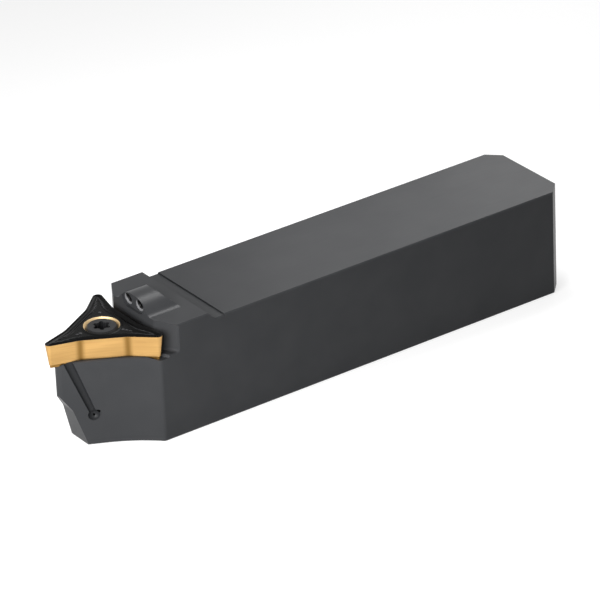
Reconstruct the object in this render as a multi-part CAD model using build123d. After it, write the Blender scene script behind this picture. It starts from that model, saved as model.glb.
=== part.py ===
"""Neutral copy-turning tool holder: a square shank, a relieved nose, a form-fit insert seat,
a three-corner insert, its clamp screw and a plugged coolant inlet.

Frame, in millimetres: +X runs back along the shank, the cutting corner points to -X, +Z is up.
The origin lies on the base of the shank, on its centreline, below the shoulder step.
"""
import os
from math import cos, pi, radians, sin, sqrt, tan

from build123d import *

# --- shank ---------------------------------------------------------------------------------
SHANK_SIZE = 25.0            # height and width of the square shank
SHANK_LENGTH = 91.5          # shoulder step to rear face
REAR_CHAMFER = 3.2           # on the two upright edges at the rear
EDGE_BREAK = 0.25            # all long edges of the shank and block are broken

# --- shoulder and head block ---------------------------------------------------------------
STEP_DEPTH = 0.3             # the flat in front of the shoulder lies this much below the shank
FLAT_LENGTH = 2.4            # that flat, from the shoulder forward
BLOCK_TOP = 26.4             # top of the block behind the insert
BLOCK_BACK = -4.1            # where the block top ends and its back slope starts
WALL_X = -14.8               # pocket wall behind the insert
WALL_HALF_WIDTH = 7.6        # the flat part of that wall
WALL_SIDE_X = -12.0          # where the slanting side walls meet the sides
WALL_ROUND = 0.6             # fillet between the pocket wall and its floor

# --- nose ----------------------------------------------------------------------------------
SEAT_Z = 20.0                # pocket floor, on which the insert lies
NOSE_X = -34.9               # front of the rounded nose
NOSE_RADIUS = 1.25
FLANK_ANGLE = 27.0           # straight part of each flank, from the centreline
FLANK_STRAIGHT_X = -26.5     # the concave arc starts here
FLANK_END_X = -16.6          # and meets the side of the holder here
FLANK_CORNER_ROUND = 1.2
CHIN = ((-29.95, 0.0), (-32.55, 8.6), (-35.1, 12.5))   # undercut below the nose, in X and Z
CHIN_ROUND = 3.0

# --- nozzle hump on the block --------------------------------------------------------------
HUMP_RADIUS = 6.5
HUMP_CREST = 29.5
HUMP_FILLET = 2.2
HUMP_REACH = 7.5             # half width that its fillets are kept within
HUMP_ROOT = 0.5              # its base is sunk this far into the block
HUMP_BACK_X = -6.8           # foot of its 45 degree back slope
NOZZLE_SPREAD = 2.1          # each outlet, from the centreline
NOZZLE_Z = 27.6
NOZZLE_BORE = 1.4            # diameters
NOZZLE_MOUTH = 2.6
NOZZLE_MOUTH_DEPTH = 0.6     # countersink
SPOTFACE_HEIGHT = 3.7
SPOTFACE_DEPTH = 0.35
NOZZLE_DROP = 7.0            # degrees that the jets point down
NOZZLE_FEED_FALL = 1.1       # their bores leave the riser this much lower

# --- coolant bores -------------------------------------------------------------------------
INLET_RADIUS = 4.283         # core of a G1/8 pipe thread
INLET_DEPTH = 10.0
INLET_MOUTH_RADIUS = 5.1
FEED_RADIUS = 2.5
FEED_Z = 12.5
RISER_X = -10.2
RISER_RADIUS = 2.25
RISER_TOP = 27.6
PLUG_TAP_DEPTH = 9.0         # underside inlet, from the base up
PLUG_LENGTH = 7.5
PLUG_BREAK = 0.5             # chamfer on both ends of the plug
PLUG_RECESS = 0.6            # the plug sits this far inside the base
PLUG_KEY = 5.0               # across the flats of its hex socket
PLUG_KEY_DEPTH = 4.0

# --- jet from below, on each flank ---------------------------------------------------------
JET_X = -28.6
JET_Z = 7.1
JET_POCKET_RADIUS = 1.35     # ball pocket at the foot of the groove, at the flank
JET_POCKET_DEPTH = 0.9
JET_PILOT = 0.5              # diameter of the pilot hole in it
JET_PILOT_DROP = 0.35        # and how far that lies below the pocket's middle
JET_PILOT_DEPTH = 0.8
JET_BORE = 0.8               # diameter of the bore that feeds it
JET_BORE_OFFSET = 0.7        # the bore opens this far behind and above the middle
JET_FEED_Y = 0.6             # where the bore joins the riser
JET_FEED_Z = 10.5
JET_GROOVE_FOOT = 0.7        # radius of the groove at the pocket
JET_GROOVE_FOOT_OUT = 0.1    # its axis lies this far outside the flank there
JET_GROOVE_HEAD = 1.1        # radius at the insert
JET_GROOVE_HEAD_OUT = 0.5
JET_TARGET_X = -32.9         # where the groove meets the pocket floor, under the insert

# --- insert --------------------------------------------------------------------------------
INSERT_X = -22.9             # screw axis
INSERT_TIP_RADIUS = 16.55    # centre to the sharp corner
INSERT_FLAT_RADIUS = 6.2     # centre to the middle of each side
INSERT_TOP = 25.0            # cutting edges at shank height
INSERT_CORNER = 35.0         # corner angle
INSERT_NOSE = 1.05           # corner radius
LEAST_NOSE = 0.25            # corner radius of the inner outlines
INSERT_RELIEF = 7.0          # flank relief
CREASE_ROUND = 8.0           # rounding of the shallow inner corners
GROOVE_RUN = 0.9             # chip groove: edge to its bottom
GROOVE_DEPTH = 0.38
LAND_RUN = 1.75              # edge to the raised middle
HOLE_RADIUS = 2.75
HOLE_MOUTH_RADIUS = 3.9
RIB_DEPTH = 0.55             # three locating ribs under the insert
RIB_WIDTH = 2.6
RIB_FLARE = 35.0             # slope of their sides, from upright
RIB_REACH = 16.0             # from the screw axis, out to the corner

# --- clamp screw ---------------------------------------------------------------------------
SCREW_RADIUS = 2.5           # M5
SCREW_HEAD_RADIUS = 3.35
SCREW_HEAD_TOP = 24.9
SCREW_HEAD_BREAK = 0.3       # chamfer round its head
SCREW_TIP_BREAK = 0.5
SCREW_CONE_HALF = 30.0       # half angle of the seat cone
SCREW_END = 12.5
TAP_END = 11.2
SOCKET_RADIUS = 1.95         # six-lobe socket, to the ends of its lobes
SOCKET_CORE = 1.45           # and to its valleys
SOCKET_LOBE = 0.45           # radius of each lobe
SOCKET_VALLEY = 0.2          # rounding of each valley
SOCKET_DEPTH = 2.0

HALF = SHANK_SIZE / 2
FAR = 60.0                   # larger than anything that a cutting block has to cross
OVERRUN = 1.0                # cutters start this far outside the metal
NEAR = 0.01                  # edges and corners are picked within this distance
STEP_Z = SHANK_SIZE - STEP_DEPTH


def prism_y(points, half_width):
    """Solid with a closed X-Z outline, centred on the X-Z plane."""
    face = make_face(Polyline([Vector(x, 0, z) for x, z in points], close=True))
    return extrude(face, amount=half_width, dir=(0, 1, 0), both=True)


def prism_z(wire_edges, bottom, top):
    """Upright solid over a closed X-Y outline."""
    return extrude(Pos(0, 0, bottom) * make_face(wire_edges), amount=top - bottom)


def rod(start, end, radius, end_radius=None):
    """Round bar, straight or tapered, from one point to another."""
    axis = Vector(*end) - Vector(*start)
    plane = Plane(origin=start, z_dir=axis)
    if end_radius is None:
        return extrude(plane * Circle(radius), amount=axis.length)
    return plane * Cone(radius, end_radius, axis.length, align=(Align.CENTER, Align.CENTER, Align.MIN))


def flank_y(x):
    """Distance of the straight flank from the centreline."""
    angle = radians(FLANK_ANGLE)
    start_x = NOSE_X + NOSE_RADIUS - NOSE_RADIUS * sin(angle)
    return NOSE_RADIUS * cos(angle) + (x - start_x) * tan(angle)


# --- holder body ---------------------------------------------------------------------------
def half_outline():
    """Foot outline from the nose tip round one side to the middle of the rear face."""
    angle = radians(FLANK_ANGLE)
    nose_centre = NOSE_X + NOSE_RADIUS
    nose = ThreePointArc(
        (NOSE_X, 0),
        (nose_centre - NOSE_RADIUS * cos(pi / 4 - angle / 2), NOSE_RADIUS * sin(pi / 4 - angle / 2)),
        (nose_centre - NOSE_RADIUS * sin(angle), NOSE_RADIUS * cos(angle)),
    )
    bend = (FLANK_STRAIGHT_X, flank_y(FLANK_STRAIGHT_X))
    straight = Line(nose @ 1, bend)
    hollow = TangentArc(bend, (FLANK_END_X, HALF), tangent=(cos(angle), sin(angle)))
    side = Polyline(
        (FLANK_END_X, HALF),
        (SHANK_LENGTH - REAR_CHAMFER, HALF),
        (SHANK_LENGTH, HALF - REAR_CHAMFER),
        (SHANK_LENGTH, 0),
    )
    return nose + straight + hollow + side


def lower_body():
    """Shank and nose up to the insert seat."""
    half = half_outline()
    body = prism_z(half + mirror(half, Plane.XZ), 0, SEAT_Z)
    corners = [e for e in body.edges().filter_by(Axis.Z) if abs(e.center().X - FLANK_END_X) < NEAR]
    return fillet(corners, FLANK_CORNER_ROUND)


def upper_body():
    """Shank and block above the seat, behind the pocket wall."""
    half = Polyline(
        (WALL_X, 0),
        (WALL_X, WALL_HALF_WIDTH),
        (WALL_SIDE_X, HALF),
        (SHANK_LENGTH - REAR_CHAMFER, HALF),
        (SHANK_LENGTH, HALF - REAR_CHAMFER),
        (SHANK_LENGTH, 0),
    )
    return prism_z(half + mirror(half, Plane.XZ), SEAT_Z, BLOCK_TOP)


def main_block():
    """Lower and upper body cut to the side profile, with the pocket filleted and edges broken."""
    block = lower_body() + upper_body()
    wall_foot = [
        e for e in block.edges()
        if abs(e.center().Z - SEAT_Z) < NEAR
        and WALL_X - NEAR < e.center().X < WALL_SIDE_X
        and abs(e.center().Y) < HALF - NEAR
    ]
    block = fillet(wall_foot, WALL_ROUND) & side_profile()
    long_edges = [e for e in block.edges().filter_by(Axis.X) if abs(abs(e.center().Y) - HALF) < NEAR]
    return chamfer(long_edges, EDGE_BREAK)


def side_profile():
    """Everything below the shank top, the shoulder step and the block's back slope."""
    slope_foot = BLOCK_BACK + (BLOCK_TOP - STEP_Z)
    return prism_y(
        [
            (-FAR, 0), (SHANK_LENGTH, 0), (SHANK_LENGTH, SHANK_SIZE), (0, SHANK_SIZE), (0, STEP_Z),
            (slope_foot, STEP_Z), (BLOCK_BACK, BLOCK_TOP), (-FAR, BLOCK_TOP),
        ],
        HALF,
    )


def chin_cut():
    """Space in front of the undercut chin."""
    foot, bend, top = (Vector(x, 0, z) for x, z in CHIN)
    below = foot + (foot - bend).normalized() * OVERRUN
    above = top + (top - bend).normalized() * OVERRUN
    face_line = FilletPolyline(below, bend, above, radius=CHIN_ROUND)
    front = Polyline(above, Vector(-FAR, 0, above.Z), Vector(-FAR, 0, below.Z), below)
    return extrude(make_face(face_line + front), amount=HALF, dir=(0, 1, 0), both=True)


def nozzle_hump():
    """Domed ridge on the block, filleted into its top, with a 45 degree back slope."""
    centre_z = HUMP_CREST - HUMP_RADIUS
    root = Pos(0, BLOCK_TOP - HUMP_ROOT / 2) * Rectangle(2 * HUMP_REACH, HUMP_ROOT)
    outline = Pos(0, centre_z) * Circle(HUMP_RADIUS) + root
    crease = sqrt(HUMP_RADIUS**2 - (BLOCK_TOP - centre_z) ** 2)
    at_top = [v for v in outline.vertices() if abs(v.Y - BLOCK_TOP) < NEAR]
    corners = [v for v in at_top if abs(abs(v.X) - crease) < NEAR]
    outline = fillet(corners, HUMP_FILLET)
    outline &= Pos(0, BLOCK_TOP - HUMP_ROOT + FAR / 2) * Rectangle(2 * HUMP_REACH, FAR)
    across = Plane(origin=(WALL_X, 0, 0), x_dir=(0, 1, 0), z_dir=(1, 0, 0))
    hump = extrude(across * outline, amount=HUMP_BACK_X - WALL_X + OVERRUN)
    rise = HUMP_CREST - BLOCK_TOP + OVERRUN
    back = [
        (HUMP_BACK_X, BLOCK_TOP), (HUMP_BACK_X - rise, BLOCK_TOP + rise),
        (0, BLOCK_TOP + rise), (0, BLOCK_TOP),
    ]
    return hump - prism_y(back, HALF)


def nozzle_bores():
    """Spot face and two stepped outlets that lead back into the riser."""
    angle = radians(NOZZLE_DROP)
    forward = Vector(-cos(angle), 0, -sin(angle))
    plane = Plane(origin=(WALL_X, 0, NOZZLE_Z), x_dir=(0, 1, 0), z_dir=forward).offset(-SPOTFACE_DEPTH)
    spotface = plane * SlotCenterToCenter(2 * NOZZLE_SPREAD, SPOTFACE_HEIGHT)
    cuts = extrude(spotface, amount=SPOTFACE_DEPTH + OVERRUN)
    for side in (-1, 1):
        mouth = Vector(WALL_X, side * NOZZLE_SPREAD, NOZZLE_Z) - forward * SPOTFACE_DEPTH
        step = mouth - forward * NOZZLE_MOUTH_DEPTH
        end = Vector(RISER_X, side * (RISER_RADIUS - NOZZLE_BORE / 2), NOZZLE_Z - NOZZLE_FEED_FALL)
        cuts += rod(mouth, step, NOZZLE_MOUTH / 2, NOZZLE_BORE / 2)
        cuts += rod(step, end, NOZZLE_BORE / 2)
    return cuts


def coolant_bores():
    """Rear inlet, feed bore, underside inlet and riser."""
    rear = rod((SHANK_LENGTH + OVERRUN, 0, FEED_Z), (SHANK_LENGTH - INLET_DEPTH, 0, FEED_Z), INLET_RADIUS)
    flare = INLET_MOUTH_RADIUS - INLET_RADIUS
    rim = (SHANK_LENGTH, 0, FEED_Z)
    rear += rod(rim, (SHANK_LENGTH - flare, 0, FEED_Z), INLET_MOUTH_RADIUS, INLET_RADIUS)
    rear += rod((SHANK_LENGTH - INLET_DEPTH, 0, FEED_Z), (RISER_X, 0, FEED_Z), FEED_RADIUS)
    riser = rod((RISER_X, 0, -OVERRUN), (RISER_X, 0, PLUG_TAP_DEPTH), INLET_RADIUS)
    riser += rod((RISER_X, 0, 0), (RISER_X, 0, flare), INLET_MOUTH_RADIUS, INLET_RADIUS)
    riser += rod((RISER_X, 0, PLUG_TAP_DEPTH), (RISER_X, 0, RISER_TOP), RISER_RADIUS)
    return rear + riser


def ball_pocket(centre, outward):
    """Shallow ball-ended pocket with a pilot hole."""
    radius = (JET_POCKET_RADIUS**2 + JET_POCKET_DEPTH**2) / (2 * JET_POCKET_DEPTH)
    rim = (JET_POCKET_RADIUS, 0)
    floor = (0, -JET_POCKET_DEPTH)
    bowl = RadiusArc(floor, rim, -radius)
    frame = Polyline(rim, (JET_POCKET_RADIUS, OVERRUN), (0, OVERRUN), floor)
    plane = Plane(origin=centre, x_dir=(0, 0, 1), z_dir=Vector(0, 0, 1).cross(outward))
    pocket = revolve(plane * make_face(bowl + frame), Axis(centre, outward))
    pilot_top = centre - Vector(0, 0, JET_PILOT_DROP)
    pilot_foot = pilot_top - outward * (JET_POCKET_DEPTH + JET_PILOT_DEPTH)
    return pocket + rod(pilot_top, pilot_foot, JET_PILOT / 2)


def jet_cut(side):
    """Ball pocket, thin bore to the riser and widening groove up one flank."""
    angle = radians(FLANK_ANGLE)
    outward = Vector(-sin(angle), side * cos(angle), 0)
    backward = Vector(cos(angle), side * sin(angle), 0)
    low = Vector(JET_X, side * flank_y(JET_X), JET_Z)
    high = Vector(JET_TARGET_X, side * flank_y(JET_TARGET_X), SEAT_Z)
    bore_mouth = low + backward * JET_BORE_OFFSET + Vector(0, 0, JET_BORE_OFFSET)
    bore = rod(bore_mouth, (RISER_X, side * JET_FEED_Y, JET_FEED_Z), JET_BORE / 2)
    run = (high - low).normalized() * OVERRUN
    foot = low + outward * JET_GROOVE_FOOT_OUT
    head = high + outward * JET_GROOVE_HEAD_OUT + run
    groove = rod(foot, head, JET_GROOVE_FOOT, JET_GROOVE_HEAD)
    return ball_pocket(low, outward) + bore + groove


def holder_body():
    """The whole steel holder: its seat has grooves of the same form as the insert's ribs."""
    body = main_block() + nozzle_hump()
    body -= chin_cut()
    body -= coolant_bores()
    body -= nozzle_bores()
    body -= locating_ribs()
    body -= rod((INSERT_X, 0, SEAT_Z + OVERRUN), (INSERT_X, 0, TAP_END), SCREW_RADIUS)
    for side in (-1, 1):
        body -= jet_cut(side)
    return body


# --- insert --------------------------------------------------------------------------------
def star(shrink, blunt=False):
    """Three-corner outline, moved inward by a distance: its inner creases are rounded.

    The three corners are rounded too, or cut off straight between the ends of that rounding.
    """
    half = radians(INSERT_CORNER / 2)
    tip = INSERT_TIP_RADIUS - shrink / sin(half)
    flat = INSERT_FLAT_RADIUS - shrink
    # where a corner's edge line meets the middle of the side, in the side's own frame
    tip_along, tip_out = tip * sin(pi / 3), tip * cos(pi / 3)
    lean = pi / 6 - half
    crease = tip_along - (tip_out - flat) / tan(lean)
    points = []
    for corner in range(3):
        turn = pi + corner * 2 * pi / 3
        points.append((INSERT_X + tip * cos(turn), tip * sin(turn)))
        middle = turn + pi / 3
        for along in (-crease, crease):
            points.append((
                INSERT_X + flat * cos(middle) - along * sin(middle),
                flat * sin(middle) + along * cos(middle),
            ))
    outline = make_face(Polyline(points, close=True))
    centre = Vector(INSERT_X, 0, 0)
    nose = max(INSERT_NOSE - shrink, LEAST_NOSE)
    tips = [v for v in outline.vertices() if (v.center() - centre).length > tip - NEAR]
    outline = chamfer(tips, nose / tan(half)) if blunt else fillet(tips, nose)
    creases = [v for v in outline.vertices() if (v.center() - centre).length < crease_limit(flat, crease)]
    return fillet(creases, CREASE_ROUND + shrink)


def crease_limit(flat, crease):
    """Just beyond the distance of a crease from the screw axis."""
    return sqrt(flat**2 + crease**2) + NEAR


def locating_ribs():
    """Three ribs under the insert, with sloping sides, that fit the seat grooves."""
    flare = RIB_DEPTH * tan(radians(RIB_FLARE))
    ribs = None
    for corner in range(3):
        turn = 180 + corner * 120
        at = Pos(INSERT_X, 0, 0) * Rot(0, 0, turn)
        foot = Rectangle(RIB_REACH, RIB_WIDTH - 2 * flare)
        head = Rectangle(RIB_REACH, RIB_WIDTH)
        rib = loft([
            Pos(RIB_REACH / 2, 0, SEAT_Z - RIB_DEPTH) * foot,
            Pos(RIB_REACH / 2, 0, SEAT_Z) * head,
        ])
        ribs = at * rib if ribs is None else ribs + at * rib
    return ribs


def cone_z(radius):
    """Height at which the hole's mouth cone, and the screw head in it, has a given radius."""
    return INSERT_TOP - (HOLE_MOUTH_RADIUS - radius) / tan(radians(SCREW_CONE_HALF))


def insert_blank():
    """Plain insert with relieved flanks: a cone rounds each corner."""
    height = INSERT_TOP - SEAT_Z
    relief = height * tan(radians(INSERT_RELIEF))
    foot = Pos(0, 0, SEAT_Z) * star(relief, blunt=True)
    blank = loft([foot, Pos(0, 0, INSERT_TOP) * star(0, blunt=True)], ruled=True)
    reach = INSERT_TIP_RADIUS - INSERT_NOSE / sin(radians(INSERT_CORNER / 2))
    for corner in range(3):
        turned = Pos(INSERT_X, 0, SEAT_Z + height / 2) * Rot(0, 0, 180 + 120 * corner)
        blank += turned * Pos(reach, 0) * Cone(INSERT_NOSE - relief, INSERT_NOSE, height)
    return blank


def cutting_insert():
    """Positive three-corner insert with a chip groove, a screw hole and locating ribs."""
    groove_floor = Pos(0, 0, INSERT_TOP - GROOVE_DEPTH) * star(GROOVE_RUN)
    bowl = loft([groove_floor, Pos(0, 0, INSERT_TOP) * star(0)], ruled=True)
    island = loft([groove_floor, Pos(0, 0, INSERT_TOP) * star(LAND_RUN)], ruled=True)
    insert = insert_blank() - (bowl - island)
    foot = star((INSERT_TOP - SEAT_Z) * tan(radians(INSERT_RELIEF)))
    insert += locating_ribs() & prism_z(foot.edges(), SEAT_Z - RIB_DEPTH, SEAT_Z)
    insert -= rod((INSERT_X, 0, SEAT_Z - OVERRUN), (INSERT_X, 0, INSERT_TOP + OVERRUN), HOLE_RADIUS)
    mouth_top = (INSERT_X, 0, INSERT_TOP)
    mouth_foot = (INSERT_X, 0, cone_z(HOLE_RADIUS))
    return insert - rod(mouth_top, mouth_foot, HOLE_MOUTH_RADIUS, HOLE_RADIUS)


# --- fasteners -----------------------------------------------------------------------------
def six_lobe():
    """Six-lobe socket outline."""
    outline = Circle(SOCKET_CORE)
    for k in range(6):
        outline += Rot(0, 0, 60 * k) * Pos(SOCKET_RADIUS - SOCKET_LOBE, 0) * Circle(SOCKET_LOBE)
    valleys = [v for v in outline.vertices() if v.center().length < SOCKET_RADIUS - NEAR]
    return fillet(valleys, SOCKET_VALLEY)


def clamp_screw():
    """Countersunk screw whose cone bears in the insert's hole."""
    neck_z = cone_z(HOLE_RADIUS)
    profile = Polyline(
        (0, SCREW_END),
        (SCREW_RADIUS - SCREW_TIP_BREAK, SCREW_END),
        (SCREW_RADIUS, SCREW_END + SCREW_TIP_BREAK),
        (SCREW_RADIUS, neck_z - (HOLE_RADIUS - SCREW_RADIUS)),
        (HOLE_RADIUS, neck_z),
        (SCREW_HEAD_RADIUS, cone_z(SCREW_HEAD_RADIUS)),
        (SCREW_HEAD_RADIUS, SCREW_HEAD_TOP - SCREW_HEAD_BREAK),
        (SCREW_HEAD_RADIUS - SCREW_HEAD_BREAK, SCREW_HEAD_TOP),
        (0, SCREW_HEAD_TOP),
        close=True,
    )
    screw = revolve(Plane.XZ * make_face(profile), Axis.Z)
    socket_floor = Pos(0, 0, SCREW_HEAD_TOP - SOCKET_DEPTH) * six_lobe()
    return Pos(INSERT_X, 0, 0) * (screw - extrude(socket_floor, amount=SOCKET_DEPTH + OVERRUN))


def coolant_plug():
    """Threaded plug with a hex socket that closes the underside inlet."""
    plug = rod((RISER_X, 0, PLUG_RECESS), (RISER_X, 0, PLUG_RECESS + PLUG_LENGTH), INLET_RADIUS)
    rims = plug.edges().filter_by(GeomType.CIRCLE)
    plug = chamfer(rims, PLUG_BREAK)
    key = Pos(RISER_X, 0, PLUG_RECESS) * RegularPolygon(PLUG_KEY / 2, 6, major_radius=False)
    return plug - extrude(key, amount=PLUG_KEY_DEPTH)


PARTS = {
    "holder_body": holder_body,
    "cutting_insert": cutting_insert,
    "clamp_screw": clamp_screw,
    "coolant_plug": coolant_plug,
}

os.makedirs("parts", exist_ok=True)
for name, build in PARTS.items():
    export_step(build(), f"parts/{name}.step")
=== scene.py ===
"""Looks of a neutral copy-turning tool holder: finishes, a detailed insert, threads, light and camera."""
import logging
from dataclasses import dataclass, field, replace
from enum import IntEnum
from math import atan2, cos, hypot, pi, radians, sin, sqrt, tan

import bmesh
import bpy
from mathutils import Matrix, Vector


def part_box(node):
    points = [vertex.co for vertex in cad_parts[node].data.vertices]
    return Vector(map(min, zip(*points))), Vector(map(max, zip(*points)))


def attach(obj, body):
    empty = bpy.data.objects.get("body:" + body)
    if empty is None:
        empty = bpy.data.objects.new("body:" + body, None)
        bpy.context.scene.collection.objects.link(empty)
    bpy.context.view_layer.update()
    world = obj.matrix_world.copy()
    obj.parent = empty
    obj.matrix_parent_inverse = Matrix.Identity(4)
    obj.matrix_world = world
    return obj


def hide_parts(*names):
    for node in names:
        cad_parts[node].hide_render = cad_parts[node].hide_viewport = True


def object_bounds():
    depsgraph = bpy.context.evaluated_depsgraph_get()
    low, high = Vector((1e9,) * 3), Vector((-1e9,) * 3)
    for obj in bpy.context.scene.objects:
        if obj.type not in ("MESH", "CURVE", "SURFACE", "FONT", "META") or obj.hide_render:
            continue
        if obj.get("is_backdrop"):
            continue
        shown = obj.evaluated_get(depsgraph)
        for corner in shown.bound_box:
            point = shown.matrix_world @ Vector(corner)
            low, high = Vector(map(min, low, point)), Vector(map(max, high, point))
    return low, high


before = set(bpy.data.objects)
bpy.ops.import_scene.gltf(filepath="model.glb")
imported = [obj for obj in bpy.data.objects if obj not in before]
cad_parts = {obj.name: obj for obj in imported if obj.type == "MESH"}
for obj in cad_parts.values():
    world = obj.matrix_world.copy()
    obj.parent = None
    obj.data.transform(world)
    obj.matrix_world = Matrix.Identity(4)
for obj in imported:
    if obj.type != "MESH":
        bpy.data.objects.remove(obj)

MM = 0.001
BODY = "root"
# name of the mesh attribute that carries painted light: the painted highlight's share on the black coat, the
# painted shade's share on the gold coats
PAINTED_LIGHT_MARK = "tone"
TINY = 1e-9
# the range in which most values of one noise lie, and of two noises blended
NOISE_SPAN = (0.3, 0.7)
BLEND_SPAN = (0.35, 0.65)
# numbers of the Mix node's colour sockets: both inputs and the result
MIX_FIRST, MIX_SECOND, MIX_RESULT = 6, 7, 2
log = logging.getLogger("tool_holder")

Point = tuple[float, float, float]
Colour = tuple[float, float, float]


# --- material nodes ------------------------------------------------------------------------
class NodePen:
    """Writes the node tree of one material."""

    def __init__(self, name: str) -> None:
        """Start a material with an empty surface.

        Args:
            name: name of the material.
        """
        self.material = bpy.data.materials.new(name)
        self.material.use_nodes = True
        self.tree = self.material.node_tree
        self.tree.nodes.clear()
        self.output = self.tree.nodes.new("ShaderNodeOutputMaterial")

    def node(self, kind: str, values: dict | None = None, **settings: object) -> bpy.types.Node:
        """Add a node.

        Args:
            kind: the node's type name without its ShaderNode prefix.
            values: socket name to a plain value or to another node's socket.
            settings: attributes of the node itself.

        Returns:
            The new node.
        """
        made = self.tree.nodes.new("ShaderNode" + kind)
        for key, value in settings.items():
            setattr(made, key, value)
        for socket, value in (values or {}).items():
            if isinstance(value, bpy.types.NodeSocket):
                self.tree.links.new(value, made.inputs[socket])
            else:
                made.inputs[socket].default_value = value
        return made

    def vector(self, operation: str, *values: object, **named: object) -> bpy.types.NodeSocket:
        """Work on vectors.

        Args:
            operation: name of the VectorMath node's operation.
            values: vectors or their sockets.
            named: other inputs of the node.

        Returns:
            A value socket for a length, a distance or a dot product, otherwise a vector socket.
        """
        made = self.node("VectorMath", {**dict(enumerate(values)), **named}, operation=operation)
        plain = operation in ("LENGTH", "DISTANCE", "DOT_PRODUCT")
        return made.outputs["Value" if plain else "Vector"]

    def place(self) -> bpy.types.NodeSocket:
        """Give the place on the object, in metres."""
        return self.node("TexCoord").outputs["Object"]

    def tone(self) -> bpy.types.NodeSocket:
        """Give the share of painted shade or painted highlight that a mesh carries."""
        return self.node("Attribute", attribute_name=PAINTED_LIGHT_MARK).outputs["Fac"]

    def noise(self, size: float, detail: float = 3.0, stretch: Point = (1.0, 1.0, 1.0),
              ) -> bpy.types.NodeSocket:
        """Give a noise whose grains measure about a size.

        Args:
            size: size of the grains in metres.
            detail: octaves of finer noise.
            stretch: factor for each axis, below 1 for longer grains.

        Returns:
            A value socket from 0 to 1.
        """
        spot = self.node("Mapping", {"Vector": self.place(), "Scale": stretch}).outputs["Vector"]
        made = self.node("TexNoise", {"Vector": spot, "Scale": 1 / size, "Detail": detail})
        return made.outputs["Fac"]

    def spread(self, value: bpy.types.NodeSocket, low: float, high: float) -> bpy.types.NodeSocket:
        """Map a value from the middle of a noise's range to a range.

        Args:
            value: socket with a noise.
            low: result for a low noise.
            high: result for a high noise.

        Returns:
            A value socket.
        """
        least, most = NOISE_SPAN
        made = self.node("MapRange", {
            "Value": value, "From Min": least, "From Max": most, "To Min": low, "To Max": high,
        })
        return made.outputs["Result"]

    def blend(self, first: bpy.types.NodeSocket, second: bpy.types.NodeSocket, share: float,
              ) -> bpy.types.NodeSocket:
        """Add two values, the first with a share of the weight and the second with the rest."""
        weighed = self.math("MULTIPLY", first, share)
        return self.math("ADD", weighed, self.math("MULTIPLY", second, 1 - share))

    def ramp(self, value: bpy.types.NodeSocket, span: tuple[float, float], dark: Colour, light: Colour,
             ) -> bpy.types.NodeSocket:
        """Map a value to a tone between two colours.

        Args:
            value: socket from 0 to 1.
            span: values at which the tone is fully dark and fully light.
            dark: colour of the low values.
            light: colour of the high values.

        Returns:
            A colour socket.
        """
        made = self.node("ValToRGB", {"Fac": value})
        for element, place, colour in zip(made.color_ramp.elements, span, (dark, light)):
            element.position = place
            element.color = (*colour, 1.0)
        return made.outputs["Color"]

    def mix(self, share: bpy.types.NodeSocket, first: bpy.types.NodeSocket, second: Colour,
            ) -> bpy.types.NodeSocket:
        """Blend from one colour to another.

        Args:
            share: socket, 0 for the first colour and 1 for the second.
            first: colour socket.
            second: plain colour.

        Returns:
            A colour socket.
        """
        made = self.node("Mix", data_type="RGBA")
        self.tree.links.new(share, made.inputs["Factor"])
        self.tree.links.new(first, made.inputs[MIX_FIRST])
        made.inputs[MIX_SECOND].default_value = (*second, 1.0)
        return made.outputs[MIX_RESULT]

    def bump(self, height: bpy.types.NodeSocket, depth: float, under: bpy.types.NodeSocket | None = None,
             ) -> bpy.types.NodeSocket:
        """Raise the surface by a height map.

        Args:
            height: socket from 0 to 1.
            depth: metres that a height of 1 stands for.
            under: normal of a bump below this one.

        Returns:
            A normal socket.
        """
        values = {"Height": height, "Distance": depth, "Strength": 1.0}
        if under is not None:
            values["Normal"] = under
        return self.node("Bump", values).outputs["Normal"]

    def math(self, operation: str, first: object, second: object = 0.0) -> bpy.types.NodeSocket:
        """Combine two values.

        Args:
            operation: name of the Math node's operation.
            first: value or socket.
            second: value or socket.

        Returns:
            A value socket.
        """
        made = self.node("Math", operation=operation)
        for socket, value in zip(made.inputs, (first, second)):
            if isinstance(value, bpy.types.NodeSocket):
                self.tree.links.new(value, socket)
            else:
                socket.default_value = value
        return made.outputs["Value"]

    def principled(self, **values: object) -> bpy.types.Material:
        """Close the material with a Principled surface.

        Args:
            values: socket name, with underscores for spaces, to its value or socket.

        Returns:
            The finished material.
        """
        shader = self.node("BsdfPrincipled", {key.replace("_", " "): value for key, value in values.items()})
        self.tree.links.new(shader.outputs["BSDF"], self.output.inputs["Surface"])
        return self.material


@dataclass(frozen=True)
class Tint:
    """Painted shade or a painted highlight inside a tapered rod, in millimetres, with X and Y taken as
    positive.
    """

    colour: Colour
    start: Point
    end: Point
    start_radius: float
    end_radius: float

    def mask(self, pen: NodePen) -> bpy.types.NodeSocket:
        """Pick out the inside of the rod.

        Args:
            pen: writes the nodes.

        Returns:
            A value socket, 1 inside.
        """
        run = Vector(self.end) - Vector(self.start)
        spot = pen.vector("SCALE", pen.vector("ABSOLUTE", pen.place()), Scale=1 / MM)
        gap = pen.vector("SUBTRACT", spot, self.start)
        along = pen.vector("DOT_PRODUCT", gap, tuple(run / run.length_squared))
        share = pen.math("MINIMUM", pen.math("MAXIMUM", along, 0.0), 1.0)
        off = pen.vector("DISTANCE", gap, pen.vector("SCALE", tuple(run), Scale=share))
        wider = pen.math("MULTIPLY", share, self.end_radius - self.start_radius)
        return pen.math("LESS_THAN", off, pen.math("ADD", wider, self.start_radius))


# bright cut steel, made paler still as a painted highlight in the outlet mouths
BRIGHT_CUT_AND_HIGHLIGHT = (0.115, 0.115, 0.119)
# painted shade in the jet groove and its ball pocket
PAINTED_GROOVE_SHADE = (0.013, 0.0135, 0.0145)
# near-black painted shadow inside the bores
PAINTED_HOLE_SHADOW = (0.002, 0.002, 0.002)

# painted highlight together with bright cut steel in the outlet mouths' countersinks
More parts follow.
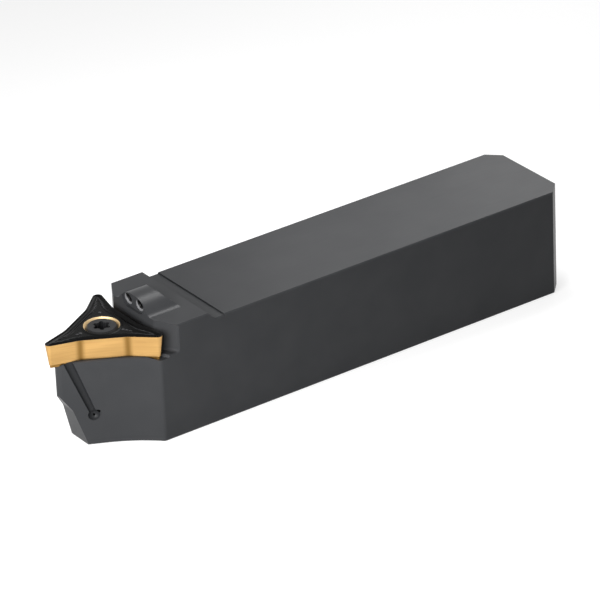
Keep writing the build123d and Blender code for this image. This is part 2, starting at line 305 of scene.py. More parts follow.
OUTLET_MOUTH = Tint(BRIGHT_CUT_AND_HIGHLIGHT, (14.35, 2.1, 27.65), (13.86, 2.1, 27.72), 1.31, 0.90)
# painted shadow down the outlet bore
OUTLET_BORE = Tint(PAINTED_HOLE_SHADOW, (14.30, 2.1, 27.88), (10.2, 1.6, 26.8), 1.06, 1.06)
# painted shade in the jet groove and its ball pocket
JET_GROOVE = Tint(PAINTED_GROOVE_SHADE, (28.645, 4.065, 7.1), (33.127, 2.231, 20.0), 0.71, 1.12)
BALL_POCKET = Tint(PAINTED_GROOVE_SHADE, (28.645, 4.065, 7.1), (28.19, 3.17, 7.1), 1.35, 1.0)
# painted shadow in the pilot hole and the jet bore
PILOT_HOLE = Tint(PAINTED_HOLE_SHADOW, (28.6, 3.98, 6.75), (27.83, 2.46, 6.75), 0.27, 0.27)
JET_BORE = Tint(PAINTED_HOLE_SHADOW, (27.98, 4.29, 7.8), (10.2, 0.6, 10.5), 0.43, 0.43)


@dataclass(frozen=True)
class BlackenedSteel:
    """Satin dark grey surface of the holder: ground, then blackened, with painted shade in its bores, groove
    and pocket and a painted highlight in its outlet mouths.
    """

    name: str = "blackened_steel"
    dark: Colour = (0.0250, 0.0258, 0.0275)
    light: Colour = (0.0290, 0.0298, 0.0315)
    specular: float = 0.08
    roughness: tuple[float, float] = (0.31, 0.38)
    grain: float = 0.16 * MM
    grain_depth: float = 0.0012 * MM
    cloud: float = 9.0 * MM
    tints: tuple[Tint, ...] = (OUTLET_MOUTH, OUTLET_BORE, JET_GROOVE, BALL_POCKET, PILOT_HOLE, JET_BORE)

    def build(self) -> bpy.types.Material:
        """Make the material.

        Returns:
            A material with cloudy tone, fine grain and faint lines along the shank.
        """
        pen = NodePen(self.name)
        cloud = pen.noise(self.cloud, 2.0)
        colour = pen.ramp(cloud, NOISE_SPAN, self.dark, self.light)
        # paint shade into the bores, the groove and its pocket, and a highlight into the outlet mouths
        for tint in self.tints:
            colour = pen.mix(tint.mask(pen), colour, tint.colour)
        lines = pen.noise(self.grain, 2.0, stretch=(0.03, 1.0, 1.0))
        rough = pen.spread(lines, *self.roughness)
        fine = pen.bump(pen.noise(self.grain, 3.0), self.grain_depth)
        normal = pen.bump(lines, self.grain_depth, fine)
        return pen.principled(
            Base_Color=colour, Roughness=rough, Normal=normal, Specular_IOR_Level=self.specular,
        )


@dataclass(frozen=True)
class BlackCeramicCoat:
    """Black alumina top coat of the insert, smooth with a fine crystal grain."""

    name: str = "black_alumina_coat"
    dark: Colour = (0.0025, 0.0025, 0.0025)
    light: Colour = (0.0045, 0.0045, 0.0045)
    # colour of the painted highlight on the ridge tops, the dots and the honed edge
    painted_highlight: Colour = (0.075, 0.075, 0.079)
    specular: float = 0.035
    roughness: tuple[float, float] = (0.22, 0.34)
    grain: float = 0.05 * MM
    grain_depth: float = 0.0010 * MM
    patch: float = 12.0
    # range of the painted highlight's patchy strength
    highlight_range: tuple[float, float] = (0.3, 1.0)

    def build(self) -> bpy.types.Material:
        """Make the material.

        Returns:
            A near-black material with a fine sparkle, paler on the crests of its ridges.
        """
        pen = NodePen(self.name)
        grain = pen.noise(self.grain, 3.0)
        ground = pen.ramp(grain, NOISE_SPAN, self.dark, self.light)
        patchy = pen.spread(pen.noise(self.grain * self.patch, 2.0), *self.highlight_range)
        # painted highlight where the mesh's mark asks for it, broken up by a patchy noise
        colour = pen.mix(pen.math("MULTIPLY", pen.tone(), patchy), ground, self.painted_highlight)
        rough = pen.spread(grain, *self.roughness)
        normal = pen.bump(grain, self.grain_depth)
        return pen.principled(
            Base_Color=colour, Roughness=rough, Normal=normal, Specular_IOR_Level=self.specular,
        )


@dataclass(frozen=True)
class GoldNitrideCoat:
    """Gold coat on the flanks and in the hole, over fine level grinding lines, with painted shade in the
    inner corners, on the underside and down the bore.
    """

    name: str = "gold_nitride_coat"
    dark: Colour = (0.450, 0.265, 0.094)
    light: Colour = (0.575, 0.350, 0.128)
    # colour of the painted shade in the inner corners, on the underside and down the bore
    shade: Colour = (0.24, 0.13, 0.034)
    roughness: tuple[float, float] = (0.33, 0.45)
    line: float = 0.14 * MM
    line_depth: float = 0.0016 * MM
    patch: float = 20.0

    def build(self) -> bpy.types.Material:
        """Make the material.

        Returns:
            A gold metal with level lines and painted shade where the mesh's mark asks for it.
        """
        pen = NodePen(self.name)
        lines = pen.noise(self.line, 2.0, stretch=(0.02, 0.02, 1.0))
        patches = pen.noise(self.line * self.patch, 1.0, stretch=(0.3, 0.3, 1.0))
        ground = pen.ramp(pen.blend(lines, patches, 0.5), BLEND_SPAN, self.dark, self.light)
        # painted shade: darker where the mesh's mark is high
        colour = pen.mix(pen.tone(), ground, self.shade)
        rough = pen.spread(lines, *self.roughness)
        normal = pen.bump(lines, self.line_depth)
        return pen.principled(Base_Color=colour, Metallic=1.0, Roughness=rough, Normal=normal)


@dataclass(frozen=True)
class TurnedSteel:
    """Dark steel turned about an upright axis, with fine rings round it."""

    name: str
    centre: Point
    dark: Colour = (0.008, 0.008, 0.009)
    light: Colour = (0.014, 0.014, 0.015)
    specular: float = 0.12
    roughness: tuple[float, float] = (0.30, 0.42)
    pitch: float = 0.11 * MM
    ring_depth: float = 0.0014 * MM
    across: Point = (1.0, 1.0, 0.0)

    def build(self) -> bpy.types.Material:
        """Make the material.

        Returns:
            A steel with fine turned rings.
        """
        pen = NodePen(self.name)
        flat = pen.vector("MULTIPLY", pen.vector("SUBTRACT", pen.place(), self.centre), self.across)
        values = {"W": pen.vector("LENGTH", flat), "Scale": 1 / self.pitch, "Detail": 1.0}
        rings = pen.node("TexNoise", values, noise_dimensions="1D").outputs["Fac"]
        grain = pen.noise(self.pitch * 2, 2.0)
        tone = pen.blend(rings, grain, 0.6)
        colour = pen.ramp(tone, BLEND_SPAN, self.dark, self.light)
        rough = pen.spread(tone, *self.roughness)
        normal = pen.bump(tone, self.ring_depth)
        return pen.principled(
            Base_Color=colour, Roughness=rough, Normal=normal, Specular_IOR_Level=self.specular,
        )


@dataclass(frozen=True)
class StudioWhite:
    """Pale floor that shows white to the camera and still keeps a soft shadow."""

    name: str = "studio_white"
    albedo: float = 0.42
    glow: float = 0.69

    def build(self) -> bpy.types.Material:
        """Make the material.

        Returns:
            A diffuse white with a share of glow for the camera and for reflections.
        """
        pen = NodePen(self.name)
        path = pen.node("LightPath").outputs
        seen = pen.math("MAXIMUM", path["Is Camera Ray"], path["Is Glossy Ray"])
        seen = pen.math("MAXIMUM", seen, path["Is Transmission Ray"])
        diffuse = pen.node("BsdfDiffuse", {"Color": (self.albedo, self.albedo, self.albedo, 1.0)})
        glow = pen.node("Emission", {"Strength": pen.math("MULTIPLY", seen, self.glow)})
        both = pen.node("AddShader", {0: diffuse.outputs["BSDF"], 1: glow.outputs["Emission"]})
        pen.tree.links.new(both.outputs["Shader"], pen.output.inputs["Surface"])
        return pen.material


# --- mesh helpers --------------------------------------------------------------------------
def mesh_object(name: str, points: list[Point], faces: list[tuple[int, ...]], coats: list[int],
                finishes: list[bpy.types.Material], merge: float = 0.0, tones: list[float] | None = None,
                ) -> bpy.types.Object:
    """Make an object from points and faces.

    Args:
        name: name of the piece.
        points: corners in metres.
        faces: corner numbers of each face.
        coats: material slot of each face.
        finishes: one material for each slot.
        merge: corners closer than this are joined.
        tones: one value for each point, the share of painted shade or painted highlight.

    Returns:
        The linked object, with outward normals.
    """
    mesh = bpy.data.meshes.new(name)
    mesh.from_pydata(points, [], faces)
    for finish in finishes:
        mesh.materials.append(finish)
    mesh.polygons.foreach_set("material_index", coats)
    if tones:
        mesh.attributes.new(PAINTED_LIGHT_MARK, "FLOAT", "POINT").data.foreach_set("value", tones)
    work = bmesh.new()
    work.from_mesh(mesh)
    if merge:
        bmesh.ops.remove_doubles(work, verts=work.verts, dist=merge)
        bmesh.ops.dissolve_degenerate(work, edges=work.edges, dist=merge)
    bmesh.ops.recalc_face_normals(work, faces=work.faces)
    work.to_mesh(mesh)
    work.free()
    piece = bpy.data.objects.new(name, mesh)
    bpy.context.scene.collection.objects.link(piece)
    return piece


def smooth(piece: bpy.types.Object, limit: float) -> None:
    """Shade a piece smooth, but leave edges sharp that turn by more than a limit in degrees."""
    piece.data.polygons.foreach_set("use_smooth", [True] * len(piece.data.polygons))
    piece.data.set_sharp_from_angle(angle=radians(limit))


def repaint(node: str, finish: bpy.types.Material) -> bpy.types.Object:
    """Give a CAD node a finish.

    Args:
        node: name of the node.
        finish: its material.

    Returns:
        The node's object.
    """
    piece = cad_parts[node]
    for place in piece.material_slots:
        place.link = "OBJECT"
        place.material = finish
    return piece


# --- the insert ----------------------------------------------------------------------------
class Coat(IntEnum):
    """Material slots of the insert."""

    BLACK = 0
    GOLD = 1
    HOLE = 2


@dataclass
class Column:
    """One place on the cutting edge: its point, its outward direction, and how far inward it runs.

    Its side and lean are the same on every corner: the distance from the corner's middle line, and
    the part of the outward direction that leads away from that line.
    """

    x: float
    y: float
    out_x: float
    out_y: float
    reach: float
    on_ring: bool
    side: float
    lean: float

    def inward(self, distance: float) -> tuple[float, float]:
        """Give the point at a distance inside the edge, at most at the column's end."""
        step = min(distance, self.reach)
        return self.x - self.out_x * step, self.y - self.out_y * step

    def inside(self, side: float, least: float) -> float:
        """Find how far inside the edge the column comes within a distance of the corner's middle line.

        Args:
            side: distance from the corner's middle line.
            least: smallest answer.

        Returns:
            Distance inside the edge, at most the column's reach.
        """
        if self.lean < TINY:
            return least
        return min(self.reach, max(least, (self.side - side) / self.lean))

    def mirrored(self) -> "Column":
        """Give the same place on the corner's other side."""
        return replace(self, y=-self.y, out_y=-self.out_y)

    def turned(self, angle: float) -> "Column":
        """Give the same place on another corner.

        Args:
            angle: turn about the screw axis, in radians.

        Returns:
            The turned column.
        """
        c, s = cos(angle), sin(angle)
        return replace(
            self,
            x=self.x * c - self.y * s, y=self.x * s + self.y * c,
            out_x=self.out_x * c - self.out_y * s, out_y=self.out_x * s + self.out_y * c,
        )


@dataclass
class ChipformerInsert:
    """Three-corner insert: black chip-breaking top, gold ground flanks, gold hole and locating ribs.

    All sizes are in millimetres. The outline's own frame has the screw axis as its origin and its
    first corner on +X. Each pair of lengths tells where a change begins and where it is complete.
    """

    node: str = "cutting_insert"
    tip_radius: float = 16.546
    flat_radius: float = 6.2
    corner: float = 35.0
    nose: float = 1.05
    crease: float = 8.0
    relief: float = 7.0
    hone: float = 0.05
    foot_break: float = 0.12
    ring_radius: float = 4.0
    lip_round: float = 0.10
    lip_steps: int = 4
    mouth_radius: float = 3.9
    black_radius: float = 3.88
    hole_radius: float = 2.75
    cone_half: float = 30.0
    rib_depth: float = 0.55
    rib_half: float = 1.3
    rib_flare: float = 35.0
    step: float = 0.13
    nose_finer: float = 1.6
    row_step: float = 0.075
    flank_row: float = 0.6
    land: float = 0.16
    land_drop: float = 0.02
    groove_at: float = 0.72
    groove_depth: float = 0.36
    wall_at: float = 1.50
    tip_wall: float = 0.42
    rim: float = 0.10
    rim_width: float = 0.26
    dish: float = 0.12
    dish_slope: tuple[float, float] = (0.6, 1.6)
    lip_slope: tuple[float, float] = (0.1, 0.6)
    wave_pitch: float = 1.25
    wave: float = 0.10
    wave_from: tuple[float, float] = (5.0, 7.0)
    narrow_from: tuple[float, float] = (8.0, 11.0)
    # painted highlight: where it fades in along the rim, and its share on the honed edge and on the dots
    highlight_from: tuple[float, float] = (4.5, 9.0)
    edge_highlight: float = 0.2
    mark_highlight: float = 0.8
    marks: tuple[int, int, int] = (2, 3, 1)
    mark_at: float = 5.9
    mark_pitch: float = 0.85
    mark_radius: float = 0.34
    mark_height: float = 0.16
    coats: list[bpy.types.Material] = field(default_factory=list)

    def __post_init__(self) -> None:
        """Take place and height from the CAD node."""
        low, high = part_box(self.node)
        self.top = high.z / MM
        self.seat = low.z / MM + self.rib_depth
        screw_low, screw_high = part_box("clamp_screw")
        self.axis_x = (screw_low.x + screw_high.x) / 2 / MM
        half = radians(self.corner / 2)
        self.edge_out = (sin(half), cos(half))
        self.flat_out = (cos(pi / 3), sin(pi / 3))
        edge_off = self.tip_radius * sin(half)
        cross = self.edge_out[0] * self.flat_out[1] - self.edge_out[1] * self.flat_out[0]
        bend_x = (edge_off * self.flat_out[1] - self.flat_radius * self.edge_out[1]) / cross
        bend_y = (self.edge_out[0] * self.flat_radius - self.flat_out[0] * edge_off) / cross
        tangent = self.crease * tan((pi / 6 - half) / 2)
        self.crease_start = (bend_x + tangent * cos(half), bend_y - tangent * sin(half))
        self.crease_end = (bend_x - tangent * sin(pi / 3), bend_y + tangent * cos(pi / 3))

    # -- outline --
    def half_corner(self) -> list[Column]:
        """List the places from a corner's tip round to the middle of the next side.

        Returns:
            Columns in order along the edge.
        """
        half = radians(self.corner / 2)
        turn = pi / 2 - half
        lean = pi / 6 - half
        centre = self.tip_radius - self.nose / sin(half)
        places: list[tuple[float, float, float]] = []
        count = max(8, round(self.nose * turn / self.step * self.nose_finer))
        for k in range(count):
            angle = turn * k / count
            places.append((centre + self.nose * cos(angle), self.nose * sin(angle), angle))
        nose_end = (centre + self.nose * self.edge_out[0], self.nose * self.edge_out[1])
        places += self.run(nose_end, self.crease_start, turn)
        hollow_x = self.crease_start[0] + self.crease * self.edge_out[0]
        hollow_y = self.crease_start[1] + self.crease * self.edge_out[1]
        count = max(4, round(self.crease * lean / self.step))
        for k in range(count):
            angle = turn - lean * k / count
            places.append((hollow_x - self.crease * cos(angle), hollow_y - self.crease * sin(angle), angle))
        middle = (self.flat_radius * self.flat_out[0], self.flat_radius * self.flat_out[1])
        places += self.run(self.crease_end, middle, pi / 3)
        places.append((*middle, pi / 3))
        return [self.column(x, y, angle) for x, y, angle in places]

    def run(self, start: tuple[float, float], end: tuple[float, float], angle: float,
            ) -> list[tuple[float, float, float]]:
        """Divide a straight stretch of the edge.

        Args:
            start: first point.
            end: last point, which is left out.
            angle: direction in which the stretch faces.

        Returns:
            Points with their facing angle.
        """
        length = hypot(end[0] - start[0], end[1] - start[1])
        count = max(2, round(length / self.step))
        return [
            (start[0] + (end[0] - start[0]) * k / count, start[1] + (end[1] - start[1]) * k / count, angle)
            for k in range(count)
        ]

    def column(self, x: float, y: float, angle: float) -> Column:
        """Work out how far inward a column runs: to the corner's middle line or to the hole's lip.

        Args:
            x: place on the edge.
            y: place on the edge.
            angle: direction in which the edge faces there.

        Returns:
            The column.
        """
        out_x, out_y = cos(angle), sin(angle)
        to_line = y / out_y if out_y > TINY else self.nose
        along = x * out_x + y * out_y
        gap = along**2 - (x**2 + y**2 - self.ring_radius**2)
        to_ring = along - sqrt(gap) if gap > 0 else float("inf")
        return Column(x, y, out_x, out_y, min(to_line, to_ring), to_ring <= to_line, y, out_y)

    def columns(self) -> list[Column]:
        """Give every column round the insert, in order.

        Returns:
            The closed ring of columns.
        """
        half = self.half_corner()
        whole = [c.mirrored() for c in reversed(half[1:-1])] + half
        ring: list[Column] = []
        for corner in range(3):
            ring += [c.turned(corner * 2 * pi / 3) for c in whole]
        return ring

    # -- heights --
    def in_corner(self, x: float, y: float) -> tuple[float, float]:
        """Refer a point to the middle line of the corner it lies in.

        Args:
            x: place in the outline's frame.
            y: place in the outline's frame.

        Returns:
            Its place along that line, from the screw axis, and its distance from the line.
        """
        turn = 2 * pi / 3
        angle = (atan2(y, x) + turn / 2) % turn - turn / 2
        return hypot(x, y) * cos(angle), abs(hypot(x, y) * sin(angle))

    def height(self, distance: float, x: float, y: float) -> float:
        """Height of the chip-breaking top over the cutting edge.

        Args:
            distance: distance inside the edge.
            x: place on the top.
            y: place on the top.

        Returns:
            Height, zero at the edge.
        """
        if distance < self.land:
            return -self.land_drop * distance / self.land
        if distance < self.groove_at:
            share = (distance - self.land) / (self.groove_at - self.land)
            return -self.land_drop - (self.groove_depth - self.land_drop) * sin(share * pi / 2)
        past = self.past_wall(distance, x, y)
        wall = distance - past * self.rim_width
        rise = smoothstep(self.groove_at, wall, distance) * (self.groove_depth - self.land_drop)
        rim = self.rim * max(0.0, 1 - (2 * past - 1) ** 2)
        near, far = (self.ring_radius + gap for gap in self.lip_slope)
        near_hole = 1 - smoothstep(near, far, hypot(x, y))
        floor = self.dish * smoothstep(*self.dish_slope, past) * (1 - near_hole)
        return rise + rim - floor - self.groove_depth + self.mark_height * self.mark(x, y)

    def past_wall(self, distance: float, x: float, y: float) -> float:
        """Tell how far a place lies past the top of the groove's wavy wall.

        Args:
            distance: distance inside the edge.
            x: place on the top.
            y: place on the top.

        Returns:
            The distance past it, in widths of the rim.
        """
        along, _ = self.in_corner(x, y)
        serration = 0.5 + 0.5 * cos(2 * pi * along / self.wave_pitch)
        wave = self.wave * serration * smoothstep(*self.wave_from, along)
        wall = self.wall_at + wave - self.tip_wall * smoothstep(*self.narrow_from, along)
        return (distance - wall) / self.rim_width

    def crest(self, distance: float, x: float, y: float) -> float:
        """Tell how strong the painted highlight is: on the rim, the dots and the honed edge.

        Args:
            distance: distance inside the edge.
            x: place on the top.
            y: place on the top.

        Returns:
            A share from 0 to 1.
        """
        if distance < self.land:
            return self.edge_highlight * (1 - distance / self.land)
        along, _ = self.in_corner(x, y)
        rim = max(0.0, 1 - (2 * self.past_wall(distance, x, y) - 1) ** 2)
        return max(rim**5 * smoothstep(*self.highlight_from, along), self.mark_highlight * self.mark(x, y))

    def mark(self, x: float, y: float) -> float:
        """Raised dots that tell the three corners apart: one, two and three.

        Args:
            x: place on the top.
            y: place on the top.

        Returns:
            Height of the dots, from 0 to 1.
        """
        along, side = self.in_corner(x, y)
        dots = self.marks[round((atan2(y, x) % (2 * pi)) / (2 * pi / 3)) % 3]
        best = 0.0
        for k in range(dots):
            middle = self.mark_at + self.mark_pitch * (k - (dots - 1) / 2)
            gap = hypot(along - middle, side) / self.mark_radius
            best = max(best, sqrt(max(0.0, 1 - gap * gap)))
        return best

    def levels(self, deepest: float) -> list[float]:
        """List the distances inside the edge at which rows of points lie.

        Args:
            deepest: the longest column's reach.

        Returns:
            Growing distances.
        """
        fine = [0.0, self.hone, self.land]
        while fine[-1] < deepest:
            fine.append(fine[-1] + self.row_step)
        return fine

    def rib(self, side: float) -> float:
        """Depth of a locating rib below the seat at a distance from its middle line."""
        flare = self.rib_depth * tan(radians(self.rib_flare))
        return self.rib_depth * min(1.0, max(0.0, (self.rib_half - side) / flare))

    def rib_lines(self) -> tuple[float, float]:
        """Give the distances from a rib's middle line at which its slope starts and ends."""
        return self.rib_half, self.rib_half - self.rib_depth * tan(radians(self.rib_flare))

    def crease_shade(self, x: float, y: float) -> float:
        """Tell how much painted shade a place gets in one of the shallow inner corners.

        Args:
            x: place on the flank.
            y: place on the flank.

        Returns:
            One in the middle of a crease, zero beside it.
        """
        along, side = self.in_corner(x, y)
        run = (self.crease_end[0] - self.crease_start[0], self.crease_end[1] - self.crease_start[1])
        share = (along - self.crease_start[0]) * run[0] + (side - self.crease_start[1]) * run[1]
        share /= run[0] ** 2 + run[1] ** 2
        return smoothstep(-0.25, 0.5, share) * (1 - smoothstep(0.5, 1.25, share))

    # -- meshes --
    def place(self, x: float, y: float, z: float) -> Point:
        """Put a point of the outline's frame into the holder's frame, in metres."""
        return ((self.axis_x - x) * MM, -y * MM, z * MM)

    def build(self) -> bpy.types.Object:
        """Make the whole insert.

        Returns:
            The piece, shaded.
        """
        columns = self.columns()
        net = ColumnNet(self, [c.on_ring for c in columns])
        deepest = max(c.reach for c in columns)
        rows = []
        for distance in self.levels(deepest):
            places = [(min(distance, c.reach), *c.inward(distance)) for c in columns]
            heights = [self.top + self.height(*place) for place in places]
            # share of painted highlight on the rim, the dots and the honed edge
            painted_highlights = [self.crest(*place) for place in places]
            rows.append(net.row([(x, y, z) for (_, x, y), z in zip(places, heights)], painted_highlights))
        for outer, inner in zip(rows, rows[1:]):
            net.band(inner, outer, Coat.BLACK)
        net.caps(rows[-1], Coat.BLACK)
        under = self.flank(net, columns, rows[0])
        self.bore(net, columns, rows[-1], under)
        piece = mesh_object(
            "insert_chipformer", net.points, net.faces, net.coats, self.coats,
            merge=0.002 * MM, tones=net.tones,
        )
        smooth(piece, limit=32)
        return piece

    def flank(self, net: "ColumnNet", columns: list[Column], edge: int) -> int:
        """Add the honed edge, the relieved flank, its broken foot and the ribbed underside.

        Args:
            net: takes the points and faces.
            columns: the ring of columns.
            edge: first point of the cutting edge.

        Returns:
            First point of the underside's innermost row.
        """
        slope = tan(radians(self.relief))
        drop = self.top - self.seat
        foot = drop - self.foot_break
        previous = edge
        for depth in (self.hone, self.flank_row, drop / 2, foot):
            places = [c.inward(depth * slope) for c in columns]
            # painted shade in the shallow inner corners; the band under the cutting edge also takes the
            # edge's highlight share as a little painted shade
            crease_shades = [self.crease_shade(x, y) for x, y in places]
            new = net.row([(x, y, self.top - depth) for x, y in places], crease_shades)
            net.band(previous, new, Coat.GOLD)
            previous = new
        inset = drop * slope + self.foot_break
        outer, inner = self.rib_lines()
        steps = (
            [(inset, False)] * len(columns),
            [(inset, True)] * len(columns),
            [(c.inside(outer, inset), True) for c in columns],
            [(c.inside(inner, inset), True) for c in columns],
            [(c.reach, True) for c in columns],
        )
        for places in steps:
            points = []
            for c, (distance, ribbed) in zip(columns, places):
                side = c.side - c.lean * min(distance, c.reach)
                points.append((*c.inward(distance), self.seat - self.rib(side) * ribbed))
            # full painted shade over the underside
            new = net.row(points, [1.0] * len(columns))
            net.band(previous, new, Coat.GOLD)
            previous = new
        net.caps(previous, Coat.GOLD)
        return previous

    def bore(self, net: "ColumnNet", columns: list[Column], top_row: int, under_row: int) -> None:
        """Line the hole: rounded lip, screw cone and straight bore down to the ribbed underside.

        Args:
            net: takes the points and faces.
            columns: the ring of columns.
            top_row: first point of the innermost row on top.
            under_row: first point of the innermost row below.
        """
        slope = tan(radians(self.cone_half))
        lip_z = self.top - self.land_drop
        profile = []
        for k in range(self.lip_steps + 1):
            angle = k / self.lip_steps * radians(90 - self.cone_half)
            profile.append((
                self.mouth_radius + self.lip_round * (0.5 - sin(angle)),
                lip_z - self.lip_round * (1 - cos(angle)),
            ))
        neck_z = self.top - (self.mouth_radius - self.hole_radius) / slope
        profile.append((self.hole_radius, neck_z))
        previous = top_row
        for radius, height in profile:
            new = net.row([(*self.around(c, radius), height) for c in columns], [0.0] * len(columns))
            net.ring_band(previous, new, Coat.BLACK if radius > self.black_radius else Coat.HOLE)
            previous = new
        below = under_row
        for line in (*self.rib_lines(), 0.0):
            points = []
            for c in columns:
                x, y = self.around(c, self.ring_radius)
                side = self.in_corner(x, y)[1] / self.ring_radius
                radius = min(self.ring_radius, max(self.hole_radius, line / max(side, TINY)))
                if not line:
                    radius = self.hole_radius
                points.append((*self.around(c, radius), self.seat - self.rib(side * radius)))
            # full painted shade on the underside rows, so the straight bore gets painted shade that grows
            # towards its bottom
            new = net.row(points, [1.0] * len(columns))
            net.ring_band(below, new, Coat.GOLD)
            below = new
        net.ring_band(below, previous, Coat.HOLE)

    def around(self, column: Column, radius: float) -> tuple[float, float]:
        """Give a column's inner end moved to a distance from the screw axis.

        Args:
            column: the column.
            radius: distance from the screw axis.

        Returns:
            The point.
        """
        x, y = column.inward(column.reach)
        length = hypot(x, y)
        return x / length * radius, y / length * radius


class ColumnNet:
    """Points and faces of a closed surface whose rows all follow the same ring of columns."""

    def __init__(self, insert: ChipformerInsert, on_ring: list[bool]) -> None:
        """Start an empty net.

        Args:
            insert: gives the place of each point.
            on_ring: whether each column ends at the hole's lip.
        """
        self.insert = insert
        self.count = len(on_ring)
        self.ring = [k for k in range(self.count) if on_ring[k]]
        self.points: list[Point] = []
        self.tones: list[float] = []
        self.faces: list[tuple[int, ...]] = []
        self.coats: list[int] = []

    def row(self, places: list[tuple[float, float, float]], tones: list[float]) -> int:
        """Add one point for each column.

        Args:
            places: the points, in the outline's frame.
            tones: a value for each point, the share of painted shade or painted highlight.

        Returns:
            Number of the row's first point.
        """
        self.points += [self.insert.place(*p) for p in places]
        self.tones += tones
        return len(self.points) - self.count

    def band(self, upper: int, lower: int, coat: Coat) -> None:
        """Join two rows all the way round.

        Args:
            upper: first point of one row.
            lower: first point of the other.
            coat: finish of the faces.
        """
        for k in range(self.count):
            after = (k + 1) % self.count
            self.faces.append((upper + k, upper + after, lower + after, lower + k))
            self.coats.append(coat)

    def ring_band(self, upper: int, lower: int, coat: Coat) -> None:
        """Join two rows of the hole, straight across the gap at each corner.

        Args:
            upper: first point of one row.
            lower: first point of the other.
            coat: finish of the faces.
        """
        for k, after in zip(self.ring, self.ring[1:] + self.ring[:1]):
            self.faces.append((upper + k, upper + after, lower + after, lower + k))
            self.coats.append(coat)

    def caps(self, row: int, coat: Coat) -> None:
        """Close the small gap between a corner's middle line and the hole.

        Args:
            row: first point of the innermost row.
            coat: finish of the faces.
        """
        for k, after in zip(self.ring, self.ring[1:] + self.ring[:1]):
            if (after - k) % self.count > 1:
                self.faces.append((row + k, row + (k + 1) % self.count, row + after))
                self.coats.append(coat)


# --- rear coolant inlet --------------------------------------------------------------------
@dataclass
class PipeThread:
    """Helical ridge of the G1/8 thread in the rear coolant inlet. Sizes are in millimetres."""

    radius: float = 4.283
    pitch: float = 0.907
    height: float = 0.24
    sunk: float = 0.06
    foot: float = 0.80
    crest: float = 0.14
    start: float = 82.6
    end: float = 90.4
    axis_z: float = 12.5
    steps: int = 48

    def build(self, finish: bpy.types.Material) -> bpy.types.Object:
        """Sweep the ridge's section along the helix, fading out at both ends.

        Args:
            finish: its material.

        Returns:
            The piece, shaded.
        """
        count = round((self.end - self.start) / self.pitch * self.steps)
        points = []
        for k in range(count + 1):
            rise = self.height * smoothstep(0, self.steps / 2, min(k, count - k))
            points += self.section(self.start + (self.end - self.start) * k / count, k / self.steps, rise)
        faces = [(3, 2, 1, 0), tuple(4 * count + k for k in range(4))]
        for k in range(0, 4 * count, 4):
            faces += [(k + i, k + (i + 1) % 4, k + 4 + (i + 1) % 4, k + 4 + i) for i in range(4)]
        piece = mesh_object("inlet_thread", points, faces, [0] * len(faces), [finish])
        smooth(piece, limit=30)
        return piece

    def section(self, x: float, turns: float, rise: float) -> list[Point]:
        """Give the four corners of the ridge at one place.

        Args:
            x: middle of the section.
            turns: how many turns it lies round the axis.
            rise: height of the ridge over the bore's wall.

        Returns:
            Points in metres, foot and crest in order.
        """
        across, up = cos(2 * pi * turns), sin(2 * pi * turns)
        corners = []
        for width, radius in ((-self.foot, self.radius + self.sunk), (-self.crest, self.radius - rise),
                              (self.crest, self.radius - rise), (self.foot, self.radius + self.sunk)):
            along = x + width * self.pitch / 2
            corners.append((along * MM, radius * across * MM, (self.axis_z + radius * up) * MM))
        return corners


def smoothstep(low: float, high: float, value: float) -> float:
    """Rise softly from 0 at low to 1 at high."""
    share = min(1.0, max(0.0, (value - low) / (high - low)))
    return share * share * (3 - 2 * share)


# --- studio --------------------------------------------------------------------------------
@dataclass
class SoftBox:
    """A large soft lamp, aimed at the object."""

    name: str
    azimuth: float
    elevation: float
    distance: float
    size: float
    power: float
    along: float = 0.0
    across: float = 0.0

    def build(self, middle: Vector) -> bpy.types.Object:
        """Place the lamp, aimed at a point along the holder.

        Args:
            middle: middle of the object.

        Returns:
            The lamp's object.
        """
        lamp = bpy.data.lights.new(self.name, "AREA")
        lamp.shape = "SQUARE"
        lamp.size = self.size
        lamp.energy = self.power
        made = bpy.data.objects.new(self.name, lamp)
        made.visible_camera = False
        back = direction(self.azimuth, self.elevation)
        made.location = middle + Vector((self.along, self.across, 0.0)) + back * self.distance
        made.rotation_euler = (-back).to_track_quat("-Z", "Y").to_euler()
        bpy.context.scene.collection.objects.link(made)
        return made


@dataclass
class Viewpoint:
    """Long-lens camera above the cutting end, on the holder's right side."""

    target: Point = (0.028139, 0.0, 0.013644)
    azimuth: float = -34.804
    elevation: float = 27.72
    roll: float = -2.42
    distance: float = 1.057861
    lens: float = 293.0
    far: float = 20.0

    def build(self) -> bpy.types.Object:
        """Place the camera and make it the scene's own.

        Returns:
            The camera's object.
        """
        camera = bpy.data.cameras.new("camera")
        camera.lens = self.lens
        camera.clip_end = self.far
        made = bpy.data.objects.new("camera", camera)
        back = direction(self.azimuth, self.elevation)
        right = (-back).cross(Vector((0, 0, 1))).normalized()
        up = right.cross(-back)
        tilt = radians(self.roll)
        side = right * cos(tilt) + up * sin(tilt)
        head = up * cos(tilt) - right * sin(tilt)
        turn = Matrix((side, head, back)).transposed()
        made.matrix_world = Matrix.Translation(Vector(self.target) + back * self.distance) @ turn.to_4x4()
        bpy.context.scene.collection.objects.link(made)
        bpy.context.scene.camera = made
        return made


def direction(azimuth: float, elevation: float) -> Vector:
    """Give the unit vector towards a viewpoint, with azimuth 0 on -Y and elevation over the floor."""
    a, e = radians(azimuth), radians(elevation)
    return Vector((sin(a) * cos(e), -cos(a) * cos(e), sin(e)))


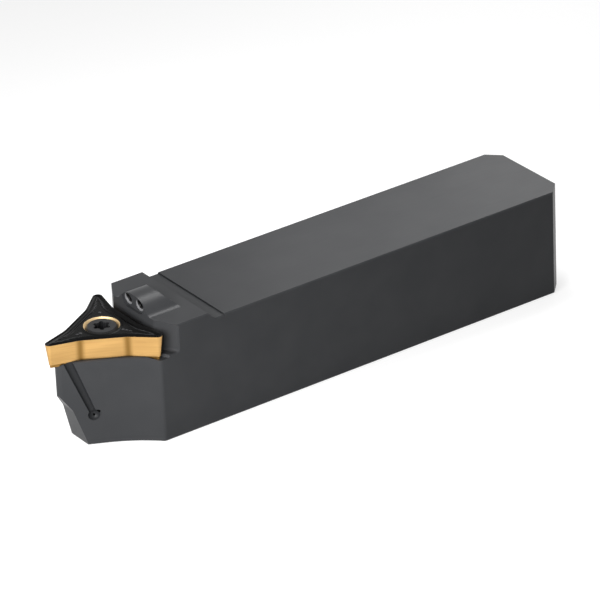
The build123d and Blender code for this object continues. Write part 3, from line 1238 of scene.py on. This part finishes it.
@dataclass
class Studio:
    """White floor, even surrounding light and a few soft boxes."""

    floor_size: float = 4.0
    floor_gap: float = 0.0002
    ambient: float = 0.16
    boxes: list[SoftBox] = field(default_factory=lambda: [
        SoftBox("nose_box", -54.0, 21.0, 0.22, 0.17, 1.36, along=-0.058),
        SoftBox("fill_box", -8.0, 14.0, 1.3, 0.9, 2.5),
        SoftBox("rear_box", 145.2, 27.7, 0.22, 0.09, 0.070, along=0.078, across=-0.030),
        SoftBox("crest_box", 110.0, 57.0, 0.15, 0.055, 0.21, along=-0.036),
        SoftBox("sheen_box", 145.2, 27.7, 0.12, 0.04, 0.0044, along=-0.010, across=-0.032),
        SoftBox("back_box", 120.0, 20.0, 1.3, 0.9, 1.4),
    ])
    floor_finish: StudioWhite = field(default_factory=StudioWhite)

    def build(self) -> bpy.types.Object:
        """Make floor, world and lamps.

        Returns:
            The floor.
        """
        half = self.floor_size / 2
        signs = ((-1, -1), (1, -1), (1, 1), (-1, 1))
        corners = [(x * half, y * half, -self.floor_gap) for x, y in signs]
        floor = mesh_object("studio_floor", corners, [(0, 1, 2, 3)], [0], [self.floor_finish.build()])
        floor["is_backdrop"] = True
        self.world()
        low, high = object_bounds()
        for lamp in self.boxes:
            report(lamp.build((low + high) / 2))
        return floor

    def world(self) -> None:
        """Surround the object with an even light that the camera and reflections see as white."""
        world = bpy.data.worlds.new("studio")
        world.use_nodes = True
        tree = world.node_tree
        background = tree.nodes["Background"]
        path = tree.nodes.new("ShaderNodeLightPath")
        pick = tree.nodes.new("ShaderNodeMapRange")
        seen = path.outputs["Is Camera Ray"]
        for ray in ("Is Glossy Ray", "Is Transmission Ray"):
            either = tree.nodes.new("ShaderNodeMath")
            either.operation = "MAXIMUM"
            tree.links.new(seen, either.inputs[0])
            tree.links.new(path.outputs[ray], either.inputs[1])
            seen = either.outputs["Value"]
        tree.links.new(seen, pick.inputs["Value"])
        pick.inputs["To Min"].default_value = self.ambient
        pick.inputs["To Max"].default_value = 1.0
        tree.links.new(pick.outputs["Result"], background.inputs["Strength"])
        background.inputs["Color"].default_value = (1.0, 1.0, 1.0, 1.0)
        bpy.context.scene.world = world


def report(piece: bpy.types.Object) -> None:
    """Log a piece's name and its number of faces."""
    log.info("%s built, %d faces", piece.name, len(getattr(piece.data, "polygons", ())))


def main() -> None:
    """Dress the holder, build the detailed insert and set the studio."""
    logging.basicConfig(level=logging.INFO, format="%(message)s")
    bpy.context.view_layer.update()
    steel = BlackenedSteel().build()
    report(repaint("holder_body", steel))
    # gold of the hole: rougher for its unground finish, and paler as a painted highlight in the hole
    hole_highlight_coat = GoldNitrideCoat(
        "unground_gold_painted_highlight", dark=(0.54, 0.39, 0.20), light=(0.62, 0.46, 0.26), roughness=(0.5, 0.6),
    )
    coats = [BlackCeramicCoat().build(), GoldNitrideCoat().build(), hole_highlight_coat.build()]
    insert = ChipformerInsert(coats=coats)
    piece = insert.build()
    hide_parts(insert.node)
    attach(piece, BODY)
    report(piece)
    thread = PipeThread().build(steel)
    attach(thread, BODY)
    report(thread)
    screw_axis = (insert.axis_x * MM, 0.0, 0.0)
    report(repaint("clamp_screw", TurnedSteel("turned_screw_steel", screw_axis).build()))
    plug_low, plug_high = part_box("coolant_plug")
    plug_axis = ((plug_low.x + plug_high.x) / 2, 0.0, 0.0)
    report(repaint("coolant_plug", TurnedSteel("turned_plug_steel", plug_axis).build()))
    report(Studio().build())
    report(Viewpoint().build())
    bpy.context.scene.view_settings.view_transform = "Standard"


if __name__ == "__main__":
    main()
